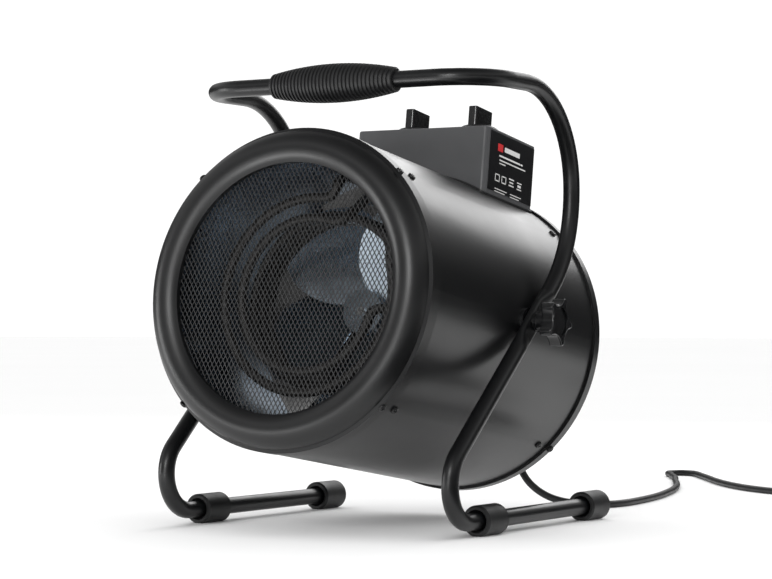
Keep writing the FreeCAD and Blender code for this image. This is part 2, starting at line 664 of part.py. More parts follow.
def make_control_box():
    shell = box_prism(0, 0, BOX_TOP, BOX_CORNER)
    rim = [e for e in shell.Edges if min(v.Z for v in e.Vertexes) > BOX_TOP - 0.1]
    shell = shell.makeFillet(1.2, rim)
    shell = shell.cut(box_prism(BOX_WALL, -10, BOX_TOP - BOX_WALL, BOX_CORNER - BOX_WALL))
    shell = shell.cut(disc(BOX_SEAT_RADIUS, DRUM_FRONT, -2 * DRUM_REAR))
    for name, x in KNOBS:
        shell = shell.cut(Part.makeCylinder(NECK_RADIUS, 8, Vector(x, BOX_MIDDLE, BOX_TOP - 6), Z_AXIS))
    return shell


def make_gasket():
    """Rubber strip between the box's edge and the drum."""
    frame = box_prism(-1.5, 0, BOX_TOP, BOX_CORNER + 1.5).cut(box_prism(6, -10, BOX_TOP + 10, 2))
    return frame.common(band(DRUM_RADIUS, BOX_SEAT_RADIUS, DRUM_FRONT, -DRUM_REAR))


def make_rating_plate():
    """Thin dark plate on the side of the box."""
    x = BOX_WIDTH / 2
    side_foot = math.sqrt(BOX_SEAT_RADIUS ** 2 - x ** 2) + PIVOT_BELOW_AXIS
    return block(x, x + 0.5, BOX_FRONT + BOX_CORNER + 1, BOX_REAR - BOX_CORNER + 1, side_foot + 4, BOX_TOP - 3)


NECK_RADIUS = 5.0
NECK_TOP = BOX_TOP + 2.5
KNOB_FOOT = BOX_TOP + 0.6
CONTROL_TOP = BOX_TOP - BOX_WALL


def make_control(x, width, length, height):
    """Switch or thermostat body under the box's top, with a neck that its spindle turns in."""
    body = block(x - width / 2, x + width / 2, BOX_MIDDLE - length / 2, BOX_MIDDLE + length / 2,
                 CONTROL_TOP - height, CONTROL_TOP)
    neck = Part.makeCylinder(NECK_RADIUS, NECK_TOP - CONTROL_TOP, Vector(x, BOX_MIDDLE, CONTROL_TOP), Z_AXIS)
    bore = Part.makeCylinder(SPINDLE_RADIUS + RUNNING_CLEARANCE, 40,
                             Vector(x, BOX_MIDDLE, CONTROL_TOP - 10), Z_AXIS)
    return body.fuse(neck).cut(bore)


def make_spindle(x):
    return Part.makeCylinder(SPINDLE_RADIUS, KNOB_FOOT + KNOB_SKIRT - CONTROL_TOP + 6,
                             Vector(x, BOX_MIDDLE, CONTROL_TOP - 8), Z_AXIS)


def make_knob(x):
    """Round skirt with a raised bar across it."""
    skirt = Part.makeCone(KNOB_RADIUS, KNOB_RADIUS - 2, KNOB_SKIRT, Vector(x, BOX_MIDDLE, KNOB_FOOT), Z_AXIS)
    skirt = skirt.makeFillet(1.5, [e for e in skirt.Edges if e.Closed and e.BoundBox.ZMin > KNOB_FOOT + 1])
    width, length, height = KNOB_BLADE
    blade = block(x - width / 2, x + width / 2, BOX_MIDDLE - length / 2, BOX_MIDDLE + length / 2,
                  KNOB_FOOT + 2, KNOB_FOOT + KNOB_SKIRT + height)
    blade = blade.makeFillet(2.5, [e for e in blade.Edges if e.BoundBox.ZLength > KNOB_SKIRT])
    blade = blade.makeFillet(0.8, [e for e in blade.Edges if e.BoundBox.ZMin > KNOB_FOOT + KNOB_SKIRT + 1])
    knob = skirt.fuse(blade)
    hollow = Part.makeCylinder(NECK_RADIUS + 2, 3.5, Vector(x, BOX_MIDDLE, KNOB_FOOT), Z_AXIS)
    return knob.cut(hollow).cut(make_spindle(x))


def make_gland():
    """Cord outlet on the back of the box."""
    nut = Part.makeCylinder(11, 5, Vector(GLAND_X, BOX_REAR, GLAND_HEIGHT), Y_AXIS)
    neck = Part.makeCone(9, 6.5, GLAND_LENGTH - 5, Vector(GLAND_X, BOX_REAR + 5, GLAND_HEIGHT), Y_AXIS)
    return nut.fuse(neck)


# ---------------------------------------------------------------- side clamps

STAND_INNER = LEG_X - FLAT_THICKNESS / 2
STAND_OUTER = LEG_X + FLAT_THICKNESS / 2
WASHER_START = STAND_OUTER + CLAMP_GAP
NECK_START = WASHER_START + WASHER_THICKNESS
HEAD_START = NECK_START + CLAMP_NECK_LENGTH
HEAD_END = HEAD_START + CLAMP_HEAD_LENGTH


def mirrored(shape, side):
    """The right-hand piece, or its mirror image on the left."""
    return shape if side > 0 else shape.mirror(Vector(0, 0, 0), X_AXIS)


def along_x(radius, start, end):
    return Part.makeCylinder(radius, end - start, Vector(start, 0, 0), X_AXIS)


def make_spacer():
    """Saddle-shaped spacer between the casing and the stand."""
    spacer = along_x(SPACER_RADIUS, DRUM_RADIUS - 6, STAND_INNER - CLAMP_GAP)
    hole = along_x(STUD_RADIUS + STUD_HOLE_CLEARANCE, 0, 2 * DRUM_RADIUS)
    return spacer.cut(disc(DRUM_RADIUS, DRUM_FRONT, -DRUM_REAR)).cut(hole)


def make_clamp_nut():
    """Nut welded inside the casing."""
    corners = [Vector(CASING_INNER - 9, 7.5 * math.cos(math.radians(60 * i)), 7.5 * math.sin(math.radians(60 * i)))
               for i in range(7)]
    nut = Part.Face(Part.makePolygon(corners)).extrude(Vector(9, 0, 0))
    nut = nut.common(disc(CASING_INNER, DRUM_FRONT, -DRUM_REAR))
    return nut.cut(along_x(STUD_RADIUS + RUNNING_CLEARANCE, 0, 2 * DRUM_RADIUS))


def make_washer():
    bore = along_x(STUD_RADIUS + STUD_HOLE_CLEARANCE, 0, 2 * DRUM_RADIUS)
    return along_x(WASHER_RADIUS, WASHER_START, NECK_START).cut(bore)


def make_stud():
    return along_x(STUD_RADIUS, CASING_INNER - 12, HEAD_START + 4)


def make_clamp_knob():
    """Star knob with rounded lobes, one pointing back, a dished face and a neck."""
    head = along_x(CLAMP_HEAD_RADIUS, HEAD_START, HEAD_END)
    scallop_reach = 1.307 * CLAMP_HEAD_RADIUS
    for i in range(CLAMP_LOBES):
        angle = math.radians(360 * (i + 0.5) / CLAMP_LOBES)
        middle = Vector(HEAD_START - 1, scallop_reach * math.cos(angle), scallop_reach * math.sin(angle))
        head = head.cut(Part.makeCylinder(0.633 * CLAMP_HEAD_RADIUS, CLAMP_HEAD_LENGTH + 2, middle, X_AXIS))
    along = [edge for edge in head.Edges if edge.BoundBox.XLength > CLAMP_HEAD_LENGTH / 2]
    head = head.makeFillet(CLAMP_LOBE_EDGE, along)
    around = [edge for edge in head.Edges if edge.BoundBox.XLength < CLAMP_HEAD_LENGTH / 2]
    head = head.makeFillet(CLAMP_FACE_EDGE, around)
    dish = along_x(CLAMP_DISH_RADIUS, HEAD_END - 3, HEAD_END + 1)
    cap = along_x(CLAMP_DISH_RADIUS - 0.8, HEAD_END - 3, HEAD_END - 1.6)
    neck = along_x(CLAMP_NECK_RADIUS, NECK_START, HEAD_START)
    knob = head.cut(dish).fuse([cap, neck])
    return knob.cut(make_stud())


# ---------------------------------------------------------------- cord and plug

def cord_points():
    """Route of the uncoiled cord, from the gland to the coil."""
    start = drum_point(GLAND_X, BOX_REAR + GLAND_LENGTH, GLAND_HEIGHT)
    second = drum_point(GLAND_X, BOX_REAR + GLAND_LENGTH + CORD_START_RUN, GLAND_HEIGHT)
    return [start, second] + [Vector(*p) for p in CORD_ROUTE]


def make_cord():
    """Straight runs joined by the largest arcs that their lengths allow."""
    points = cord_points()
    radii = []
    for before, here, after in zip(points, points[1:], points[2:]):
        half_turn = (here - before).getAngle(after - here) / 2
        shorter = min((here - before).Length, (after - here).Length)
        radii.append(0.45 * shorter / math.tan(half_turn))
    path = rounded_path(points, radii)
    cord = swept(path, CORD_DIAMETER / 2)
    expected = path.Length * math.pi * CORD_DIAMETER ** 2 / 4
    print("cord length %.0f mm, arc radii %s" % (path.Length, [round(r) for r in radii]))
    print("cord volume / (section x length) = %.4f" % (cord.Volume / expected))
    return cord


def make_coil():
    """Outer shape of the coiled cord."""
    centre = Vector(COIL_CENTRE[0], COIL_CENTRE[1], 0)
    reach = CORD_DIAMETER / 2 + 0.5
    height = COIL_TURNS_HIGH * CORD_DIAMETER + 1
    outer = Part.makeCylinder(COIL_RADIUS + reach, height, centre, Z_AXIS)
    return outer.cut(Part.makeCylinder(COIL_RADIUS - reach, height, centre, Z_AXIS))


def along_plug(radius_start, radius_end, start, length):
    heading = Vector(PLUG_HEADING[0], PLUG_HEADING[1], 0)
    base = Vector(*PLUG_START) + heading * start
    if radius_start == radius_end:
        return Part.makeCylinder(radius_start, length, base, heading)
    return Part.makeCone(radius_start, radius_end, length, base, heading)


PLUG_FACE_START = PLUG_SLEEVE_LENGTH + PLUG_TAPER_LENGTH
PLUG_FRONT = PLUG_FACE_START + PLUG_FACE_LENGTH


def make_plug():
    """Round moulded plug with a tapered cord sleeve."""
    sleeve = along_plug(PLUG_SLEEVE_RADII[0], PLUG_SLEEVE_RADII[1], 0, PLUG_SLEEVE_LENGTH)
    taper = along_plug(PLUG_NECK_RADIUS, PLUG_RADIUS, PLUG_SLEEVE_LENGTH, PLUG_TAPER_LENGTH)
    face = along_plug(PLUG_RADIUS, PLUG_RADIUS, PLUG_FACE_START, PLUG_FACE_LENGTH)
    return sleeve.fuse([taper, face])


def make_plug_pins():
    across = Vector(-PLUG_HEADING[1], PLUG_HEADING[0], 0)
    pins = []
    for offset in (-PIN_SPACING / 2, PIN_SPACING / 2):
        pin = along_plug(PIN_RADIUS, PIN_RADIUS, PLUG_FRONT, PIN_LENGTH)
        pin.translate(across * offset)
        pins.append(pin)
    return Part.makeCompound(pins)


# ---------------------------------------------------------------- write everything

os.makedirs("parts", exist_ok=True)

write_standing("stand_tube", make_stand_tube())
write_standing("handle_grip", make_grip())
for side_name, side_sign in SIDES:
    write_standing(side_name + "_front_foot_sleeve", make_sleeve(side_sign, FRONT_SLEEVE_Y, False))
    write_standing(side_name + "_rear_foot_sleeve", make_sleeve(side_sign, REAR_SLEEVE_Y, True))

write_on_drum("outer_casing", make_casing())
write_on_drum("front_bezel", make_bezel())
write_on_drum("front_grille", make_front_grille())
write_on_drum("heat_shield", make_heat_shield())
for element in ELEMENT_RINGS:
    write_on_drum("heating_element_" + element[0], make_element(*element[1:]))
write_on_drum("terminal_plate", make_terminal_plate())
write_on_drum("motor", make_motor())
write_on_drum("motor_bracket", make_motor_bracket())
write_on_drum("fan_impeller", make_fan())
write_on_drum("motor_shaft", make_shaft())
write_on_drum("rear_ring", make_rear_ring())
write_on_drum("rear_grille", make_rear_grille())
for row_name, row_ahead, row_seat in SCREW_ROWS:
    for screw_name, screw_angle in zip(SCREW_NAMES, SCREW_ANGLES):
        write_on_drum(row_name + "_screw_" + screw_name, make_screw(screw_angle, row_ahead, row_seat))

write_on_drum("control_box", make_control_box())
write_on_drum("box_gasket", make_gasket())
write_on_drum("rating_plate", make_rating_plate())
write_on_drum("thermostat_unit", make_control(KNOBS[0][1], 34, 30, 22))
write_on_drum("rotary_switch", make_control(KNOBS[1][1], 30, 30, 26))
for knob_name, knob_x in KNOBS:
    write_on_drum(knob_name + "_knob", make_knob(knob_x))
    write_on_drum(knob_name + "_spindle", make_spindle(knob_x))
write_on_drum("cord_gland", make_gland())

for side_name, side_sign in SIDES:
    write_on_drum(side_name + "_pivot_spacer", mirrored(make_spacer(), side_sign))
    write_on_drum(side_name + "_clamp_nut", mirrored(make_clamp_nut(), side_sign))
    write_on_drum(side_name + "_clamp_washer", mirrored(make_washer(), side_sign))
    write_on_drum(side_name + "_clamp_stud", mirrored(make_stud(), side_sign))
    write_on_drum(side_name + "_clamp_knob", mirrored(make_clamp_knob(), side_sign))

write("power_cord", make_cord())
write("cord_coil", make_coil())
write("mains_plug", make_plug())
write("plug_pins", make_plug_pins())
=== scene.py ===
import math

import bmesh
import bpy
from mathutils import Matrix, Vector


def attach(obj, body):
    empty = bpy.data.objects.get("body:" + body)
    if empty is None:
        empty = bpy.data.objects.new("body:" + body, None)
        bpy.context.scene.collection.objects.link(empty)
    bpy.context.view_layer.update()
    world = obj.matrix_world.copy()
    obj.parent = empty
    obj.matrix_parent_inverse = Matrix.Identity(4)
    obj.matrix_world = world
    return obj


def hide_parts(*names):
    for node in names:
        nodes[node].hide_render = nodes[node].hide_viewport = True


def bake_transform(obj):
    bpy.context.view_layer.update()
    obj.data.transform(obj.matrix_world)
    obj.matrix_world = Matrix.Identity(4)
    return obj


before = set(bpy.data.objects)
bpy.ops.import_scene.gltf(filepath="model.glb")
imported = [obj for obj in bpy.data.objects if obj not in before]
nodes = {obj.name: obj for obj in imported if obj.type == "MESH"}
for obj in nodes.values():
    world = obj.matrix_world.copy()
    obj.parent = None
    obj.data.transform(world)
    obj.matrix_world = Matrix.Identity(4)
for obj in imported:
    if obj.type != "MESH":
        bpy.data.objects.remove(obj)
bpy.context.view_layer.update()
collection = bpy.context.scene.collection

# The drum's own frame: a pivot on the stand, and a tilt about it.
TILT = math.radians(8.5)
PIVOT = Vector((0.0, 0.018, 0.182))
AXIS_ABOVE_PIVOT = 0.0025


# ---------------------------------------------------------------- helpers

def drum_matrix():
    """Level drum frame (x, -ahead, height about the pivot) to the row's frame."""
    return Matrix.Translation(PIVOT) @ Matrix.Rotation(-TILT, 4, "X")


def new_piece(name, bm, material, body, smooth=True, matrix=None):
    mesh = bpy.data.meshes.new(name)
    if matrix is not None:
        bm.transform(matrix)
    bm.normal_update()
    bm.to_mesh(mesh)
    bm.free()
    for polygon in mesh.polygons:
        polygon.use_smooth = smooth
    obj = bpy.data.objects.new(name, mesh)
    collection.objects.link(obj)
    obj.data.materials.append(material)
    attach(obj, body)
    return obj


def lathe(profile, segments, matrix):
    """Closed surface of revolution about the local Y axis, from (radius, y) points."""
    bm = bmesh.new()
    rings = []
    for i in range(segments):
        angle = 2 * math.pi * i / segments
        rings.append([bm.verts.new((r * math.sin(angle), y, r * math.cos(angle))) for r, y in profile])
    count = len(profile)
    for i in range(segments):
        here, there = rings[i], rings[(i + 1) % segments]
        for j in range(count):
            k = (j + 1) % count
            bm.faces.new((here[j], there[j], there[k], here[k]))
    bmesh.ops.remove_doubles(bm, verts=bm.verts, dist=1e-7)
    bmesh.ops.recalc_face_normals(bm, faces=bm.faces)
    bm.transform(matrix)
    return bm


# ---------------------------------------------------------------- materials

def finish(name, colour, rough, metallic=0.0, mottle=(60.0, 0.0), rough_spread=0.0, bump=(), coat=0.0,
           coat_rough=0.1, specular=0.5):
    """Procedural finish: mottled colour, uneven roughness and stacked noise bumps.

    mottle is (noise scale, share of the colour), and each bump is (noise scale, strength, distance).
    """
    mat = bpy.data.materials.new(name)
    mat.use_nodes = True
    tree = mat.node_tree
    shader = tree.nodes["Principled BSDF"]
    shader.inputs["Base Color"].default_value = (*colour, 1.0)
    shader.inputs["Roughness"].default_value = rough
    shader.inputs["Metallic"].default_value = metallic
    shader.inputs["Coat Weight"].default_value = coat
    shader.inputs["Coat Roughness"].default_value = coat_rough
    shader.inputs["Specular IOR Level"].default_value = specular
    coords = tree.nodes.new("ShaderNodeTexCoord")
    if mottle[1] or rough_spread:
        noise = tree.nodes.new("ShaderNodeTexNoise")
        noise.inputs["Scale"].default_value = mottle[0]
        noise.inputs["Detail"].default_value = 5.0
        noise.inputs["Roughness"].default_value = 0.6
        tree.links.new(coords.outputs["Object"], noise.inputs["Vector"])
        if mottle[1]:
            ramp = tree.nodes.new("ShaderNodeValToRGB")
            ramp.color_ramp.elements[0].position = 0.3
            ramp.color_ramp.elements[1].position = 0.7
            low, high = 1.0 - mottle[1], 1.0 + mottle[1]
            ramp.color_ramp.elements[0].color = (*[min(1.0, c * low) for c in colour], 1.0)
            ramp.color_ramp.elements[1].color = (*[min(1.0, c * high) for c in colour], 1.0)
            tree.links.new(noise.outputs["Fac"], ramp.inputs["Fac"])
            tree.links.new(ramp.outputs["Color"], shader.inputs["Base Color"])
        if rough_spread:
            spread = tree.nodes.new("ShaderNodeMapRange")
            spread.inputs["From Min"].default_value = 0.3
            spread.inputs["From Max"].default_value = 0.7
            spread.inputs["To Min"].default_value = max(0.02, rough - rough_spread)
            spread.inputs["To Max"].default_value = min(1.0, rough + rough_spread)
            tree.links.new(noise.outputs["Fac"], spread.inputs["Value"])
            tree.links.new(spread.outputs["Result"], shader.inputs["Roughness"])
    previous = None
    for scale, strength, distance in bump:
        noise = tree.nodes.new("ShaderNodeTexNoise")
        noise.inputs["Scale"].default_value = scale
        noise.inputs["Detail"].default_value = 2.0
        tree.links.new(coords.outputs["Object"], noise.inputs["Vector"])
        node = tree.nodes.new("ShaderNodeBump")
        node.inputs["Strength"].default_value = strength
        node.inputs["Distance"].default_value = distance
        tree.links.new(noise.outputs["Fac"], node.inputs["Height"])
        if previous is not None:
            tree.links.new(previous.outputs["Normal"], node.inputs["Normal"])
        previous = node
    if previous is not None:
        tree.links.new(previous.outputs["Normal"], shader.inputs["Normal"])
    return mat


ENAMEL = finish("black_enamel", (0.0035, 0.0037, 0.0042), 0.33, mottle=(9.0, 0.12), rough_spread=0.03,
                bump=((900.0, 0.05, 0.0002),), coat=0.15, coat_rough=0.2)
BEZEL_ENAMEL = finish("bezel_enamel", (0.0032, 0.0033, 0.0037), 0.36, mottle=(12.0, 0.12), rough_spread=0.03,
                      bump=((1100.0, 0.05, 0.0002),), specular=0.55)
# Control box: black gloss enamel like the drum's, with its base colour raised to mid grey as a painted
# reflection of the bright studio panels.
BOX_PAINTED_SHEEN = finish("box_enamel_painted_sheen", (0.070, 0.071, 0.074), 0.36, mottle=(14.0, 0.1), rough_spread=0.03,
                    bump=((1000.0, 0.05, 0.0002),))
POWDER = finish("stand_powder_coat", (0.0032, 0.0034, 0.0039), 0.34, mottle=(30.0, 0.12), rough_spread=0.04,
                bump=((1400.0, 0.06, 0.0002),))
RUBBER = finish("soft_rubber", (0.0055, 0.0057, 0.0062), 0.5, mottle=(45.0, 0.2), rough_spread=0.07,
                bump=((1600.0, 0.12, 0.0002),))
CORD_RUBBER = finish("cord_rubber", (0.0065, 0.0067, 0.0073), 0.45, mottle=(60.0, 0.15), rough_spread=0.06,
                     bump=((1800.0, 0.1, 0.0002),))
MOULDED = finish("moulded_plastic", (0.0045, 0.0047, 0.0052), 0.22, mottle=(50.0, 0.12), rough_spread=0.04,
                 bump=((2200.0, 0.06, 0.0001),), coat=0.4, coat_rough=0.12, specular=0.8)
MESH_COAT = finish("mesh_coat", (0.013, 0.013, 0.0135), 0.45, specular=0.4, mottle=(220.0, 0.25),
                   rough_spread=0.08)
GALVANISED = finish("galvanised_steel", (0.12, 0.155, 0.195), 0.32, metallic=1.0, mottle=(26.0, 0.22),
                    rough_spread=0.08, bump=((60.0, 0.12, 0.002),))
SHEATH = finish("element_sheath", (0.016, 0.015, 0.0145), 0.33, metallic=0.35, mottle=(700.0, 0.8),
                rough_spread=0.15, bump=((900.0, 0.6, 0.0006),))
MOTOR_STEEL = finish("motor_steel", (0.16, 0.165, 0.17), 0.42, metallic=0.9, mottle=(70.0, 0.2),
                     rough_spread=0.1)
BRIGHT = finish("fan_aluminium", (0.46, 0.53, 0.60), 0.30, metallic=1.0, mottle=(18.0, 0.1),
                rough_spread=0.06, bump=((35.0, 0.08, 0.002),))
ZINC = finish("zinc_plate", (0.55, 0.56, 0.57), 0.33, metallic=1.0, mottle=(120.0, 0.12),
              rough_spread=0.08)
SCREW_BLACK = finish("black_oxide", (0.012, 0.012, 0.0125), 0.3, metallic=0.2, mottle=(300.0, 0.2),
                     rough_spread=0.08)
PLATE = finish("plate_film", (0.006, 0.0062, 0.007), 0.42, mottle=(25.0, 0.1), rough_spread=0.03,
               specular=0.2)
PLATED_PIN = finish("plated_pin", (0.72, 0.70, 0.66), 0.22, metallic=1.0, mottle=(90.0, 0.08),
                    rough_spread=0.05)
PRINT_WHITE = finish("print_white", (0.62, 0.62, 0.61), 0.5, mottle=(90.0, 0.05))
PRINT_RED = finish("print_red", (0.55, 0.012, 0.015), 0.42, mottle=(90.0, 0.08))

SIDES = ("left", "right")
NODE_FINISH = {
    "stand_tube": POWDER, "handle_grip": RUBBER, "outer_casing": ENAMEL, "front_bezel": BEZEL_ENAMEL,
    "heat_shield": GALVANISED, "heating_element_outer": SHEATH, "heating_element_middle": SHEATH,
    "heating_element_rear": SHEATH, "terminal_plate": GALVANISED, "motor": MOTOR_STEEL,
    "motor_bracket": GALVANISED, "rear_ring": ENAMEL, "rear_grille": ENAMEL, "control_box": BOX_PAINTED_SHEEN,
    "box_gasket": RUBBER, "rating_plate": PLATE, "thermostat_unit": MOULDED, "rotary_switch": MOULDED,
    "fan_impeller": BRIGHT, "motor_shaft": ZINC, "thermostat_knob": MOULDED, "switch_knob": MOULDED,
    "thermostat_spindle": ZINC, "switch_spindle": ZINC, "plug_pins": PLATED_PIN,
}
for side in SIDES:
    for part, mat in (("front_foot_sleeve", RUBBER), ("rear_foot_sleeve", RUBBER), ("pivot_spacer", MOULDED),
                      ("clamp_nut", ZINC), ("clamp_washer", MOULDED), ("clamp_knob", MOULDED),
                      ("clamp_stud", ZINC)):
        NODE_FINISH[side + "_" + part] = mat
for name, obj in nodes.items():
    mat = SCREW_BLACK if "_screw_" in name else NODE_FINISH.get(name)
    if mat is not None:
        obj.data.materials.clear()
        obj.data.materials.append(mat)


# ---------------------------------------------------------------- mains cord

CORD_RADIUS = 0.0035
# Centreline from the gland's end down to the floor and across it to the coil.
ROUTE = (
    (0.018, 0.2016, 0.3142), (0.018, 0.2471, 0.3074), (0.017, 0.270, 0.256), (0.015, 0.268, 0.196),
    (0.014, 0.256, 0.138), (0.015, 0.241, 0.080), (0.024, 0.227, 0.036), (0.048, 0.240, 0.010),
    (0.084, 0.261, 0.0035), (0.101, 0.298, 0.0035), (0.097, 0.353, 0.0035), (0.088, 0.413, 0.0035),
    (0.073, 0.473, 0.0035), (0.055, 0.533, 0.0035), (0.028, 0.602, 0.0035), (-0.003, 0.665, 0.0035),
    (-0.025, 0.717, 0.0035), (-0.045, 0.750, 0.0035), (-0.055, 0.772, 0.0035), (-0.067, 0.786, 0.0035),
    (-0.067, 0.800, 0.0035), (-0.057, 0.810, 0.0035), (-0.043, 0.807, 0.0035), (-0.031, 0.794, 0.0035),
    (-0.016, 0.769, 0.0035), (0.009, 0.731, 0.0035), (0.039, 0.682, 0.0035), (0.074, 0.633, 0.0035),
    (0.114, 0.587, 0.0035), (0.156, 0.553, 0.0035), (0.191, 0.538, 0.0035),
)
COIL_CENTRE = Vector((0.226, 0.569))
COIL_RADIUS = 0.041
COIL_START_DEG = -115.0
COIL_END_DEG = -59.5 + 720.0
COIL_STEPS = 36
COIL_UNEVENNESS = 0.0006
SECOND_TURN = (0.75, 0.0070)      # turns after which the cord climbs, and how far
THIRD_TURN = (1.85, 0.0075)
CLIMB_TURNS = 0.3
PLUG_START = Vector((0.2647, 0.5400, 0.0185))
PLUG_HEADING = Vector((0.8616, 0.5075, 0.0))
GLAND_PLACE = (0.018, 0.132, 0.158)      # level drum frame: middle of the hole in the box's back
GLAND_LENGTH = 0.030


def coil_points():
    """Two turns and a little more: the second lies on the first, and the last climbs to the plug."""
    first, last = math.radians(COIL_START_DEG), math.radians(COIL_END_DEG)
    points = []
    for i in range(COIL_STEPS + 1):
        angle = first + i / COIL_STEPS * (last - first)
        turn = (angle - first) / (2 * math.pi)
        level = CORD_RADIUS
        for start, rise in (SECOND_TURN, THIRD_TURN):
            level += rise * max(0.0, min(1.0, (turn - start) / CLIMB_TURNS))
        reach = COIL_RADIUS + COIL_UNEVENNESS * math.sin(5.0 * angle)
        middle = COIL_CENTRE + reach * Vector((math.cos(angle), math.sin(angle)))
        points.append((middle.x, middle.y, level))
    return points


def cord_mesh(line, bevel, name):
    """The line's curve as a mesh: its bare centreline, or a tube when it has a bevel."""
    line.bevel_depth = bevel
    holder = bpy.data.objects.new(name, line)
    collection.objects.link(holder)
    bpy.context.view_layer.update()
    mesh = bpy.data.meshes.new_from_object(holder.evaluated_get(bpy.context.evaluated_depsgraph_get()))
    mesh.name = name
    bpy.data.objects.remove(holder)
    return mesh


def make_cord():
    """Rubber cord as a mesh tube, returned with its bare centreline."""
    line = bpy.data.curves.new("cord_line", "CURVE")
    line.dimensions = "3D"
    line.bevel_resolution = 6
    line.use_fill_caps = True
    points = list(ROUTE) + coil_points() + [tuple(PLUG_START - 0.012 * PLUG_HEADING), tuple(PLUG_START),
                                            tuple(PLUG_START + 0.006 * PLUG_HEADING)]
    spline = line.splines.new("NURBS")
    spline.points.add(len(points) - 1)
    for point, place in zip(spline.points, points):
        point.co = (*place, 1.0)
    spline.order_u = 3
    spline.use_endpoint_u = True
    spline.resolution_u = 10
    centre = cord_mesh(line, 0.0, "cord_centre")
    path = [vert.co.copy() for vert in centre.vertices]
    bpy.data.meshes.remove(centre)
    tube = cord_mesh(line, CORD_RADIUS, "mains_cord")
    bpy.data.curves.remove(line)
    for polygon in tube.polygons:
        polygon.use_smooth = True
    tube.materials.clear()
    tube.materials.append(CORD_RUBBER)
    obj = bpy.data.objects.new("mains_cord", tube)
    collection.objects.link(obj)
    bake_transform(obj)
    return obj, path


def make_strain_relief():
    """Cord gland on the box's back: a plain round nut and a ribbed, tapering sleeve."""
    profile = [(CORD_RADIUS, 0.0), (0.0100, 0.0), (0.0110, 0.0008), (0.0110, 0.0040), (0.0100, 0.0050)]
    ribs = 7
    for i in range(ribs):
        start = 0.0058 + i * 0.0034
        reach = 0.0090 - 0.0024 * i / (ribs - 1)
        profile += [(reach - 0.0012, start), (reach - 0.0002, start + 0.0003), (reach, start + 0.0007),
                    (reach - 0.0001, start + 0.0018), (reach - 0.0006, start + 0.0023),
                    (reach - 0.0013, start + 0.0026)]
    profile += [(0.0055, GLAND_LENGTH - 0.0004), (0.0048, GLAND_LENGTH), (CORD_RADIUS, GLAND_LENGTH)]
    bm = lathe(profile, 48, Matrix.Translation(GLAND_PLACE))
    return new_piece("strain_relief", bm, MOULDED, "drum", matrix=drum_matrix())


def make_plug():
    """Moulded two-pin plug: ribbed sleeve, tapered grip with two finger rings, and a rounded face."""
    profile = [(0.0, 0.0), (0.0046, 0.0), (0.0050, 0.0004)]
    ribs = 5
    for i in range(ribs):
        start = 0.0010 + i * 0.0034
        reach = 0.0054 + 0.0020 * i / (ribs - 1)
        profile += [(reach - 0.0009, start), (reach, start + 0.0005), (reach, start + 0.0019),
                    (reach - 0.0009, start + 0.0024)]
    profile += [(0.0078, 0.0180), (0.0094, 0.0186), (0.0122, 0.0222), (0.0152, 0.0268), (0.0174, 0.0306),
                (0.0183, 0.0330), (0.0185, 0.0350)]
    for start in (0.0370, 0.0412):
        profile += [(0.0185, start), (0.0178, start + 0.0005), (0.0178, start + 0.0015),
                    (0.0185, start + 0.0020)]
    profile += [(0.0185, 0.0470), (0.0181, 0.0488), (0.0172, 0.0498), (0.0162, 0.0500), (0.0, 0.0500)]
    heading = Matrix.Rotation(-math.atan2(PLUG_HEADING.x, PLUG_HEADING.y), 4, "Z")
    bm = lathe(profile, 64, Matrix.Translation(PLUG_START) @ heading)
    return new_piece("moulded_plug", bm, CORD_RUBBER, "stand")


cord, cord_path = make_cord()
strain_relief = make_strain_relief()
plug = make_plug()
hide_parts("power_cord", "cord_coil")
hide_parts("cord_gland")
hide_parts("mains_plug")


# ---------------------------------------------------------------- outlet mesh

MESH_PITCH_X = 0.0044
MESH_PITCH_Z = 0.0073
MESH_OPEN = 0.80                  # opening's share of each diamond
MESH_LEAN = 0.00012               # each strand leans out of the sheet by this
MESH_SHEET = 0.0004
MESH_AHEAD = -0.1753              # y in the level drum frame
MESH_REACH = 0.1125               # just past the bezel's lip


def make_outlet_mesh():
    """Expanded metal: a sheet of staggered diamond openings, each strand leaning out of its plane."""
    half_x, half_z = MESH_PITCH_X / 2, MESH_PITCH_Z / 2
    bm = bmesh.new()
    rows = int(MESH_REACH / half_z) + 1
    columns = int(MESH_REACH / MESH_PITCH_X) + 1
    for row in range(-rows, rows + 1):
        for column in range(-columns, columns + 1):
            x = (column + (row % 2) / 2) * MESH_PITCH_X
            z = row * half_z
            if math.hypot(x, z) > MESH_REACH:
                continue
            outer = [bm.verts.new((x + dx, 0.0, z + dz)) for dx, dz in
                     ((-half_x, 0), (0, half_z), (half_x, 0), (0, -half_z))]
            inner = [bm.verts.new((x + dx * MESH_OPEN, -MESH_LEAN * side_up, z + dz * MESH_OPEN))
                     for dx, dz, side_up in
                     ((-half_x, 0, 0), (0, half_z, 1), (half_x, 0, 0), (0, -half_z, -1))]
            for i in range(4):
                j = (i + 1) % 4
                bm.faces.new((outer[i], outer[j], inner[j], inner[i]))
    bmesh.ops.remove_doubles(bm, verts=bm.verts, dist=1e-5)
    bmesh.ops.recalc_face_normals(bm, faces=bm.faces)
    bm.transform(Matrix.Translation((0, MESH_AHEAD, AXIS_ABOVE_PIVOT)))
    obj = new_piece("outlet_mesh", bm, MESH_COAT, "drum", smooth=False, matrix=drum_matrix())
    solid = obj.modifiers.new("thickness", "SOLIDIFY")
    solid.thickness = MESH_SHEET
    solid.offset = 0.0
    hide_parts("front_grille")


make_outlet_mesh()



# ---------------------------------------------------------------- printed marks

MARK_THICKNESS = 0.00012
PLATE_X = 0.0705                  # just outside the rating plate's face, in the level drum frame
PLATE_MIDDLE_U = 0.0840
PLATE_TOP = 0.185


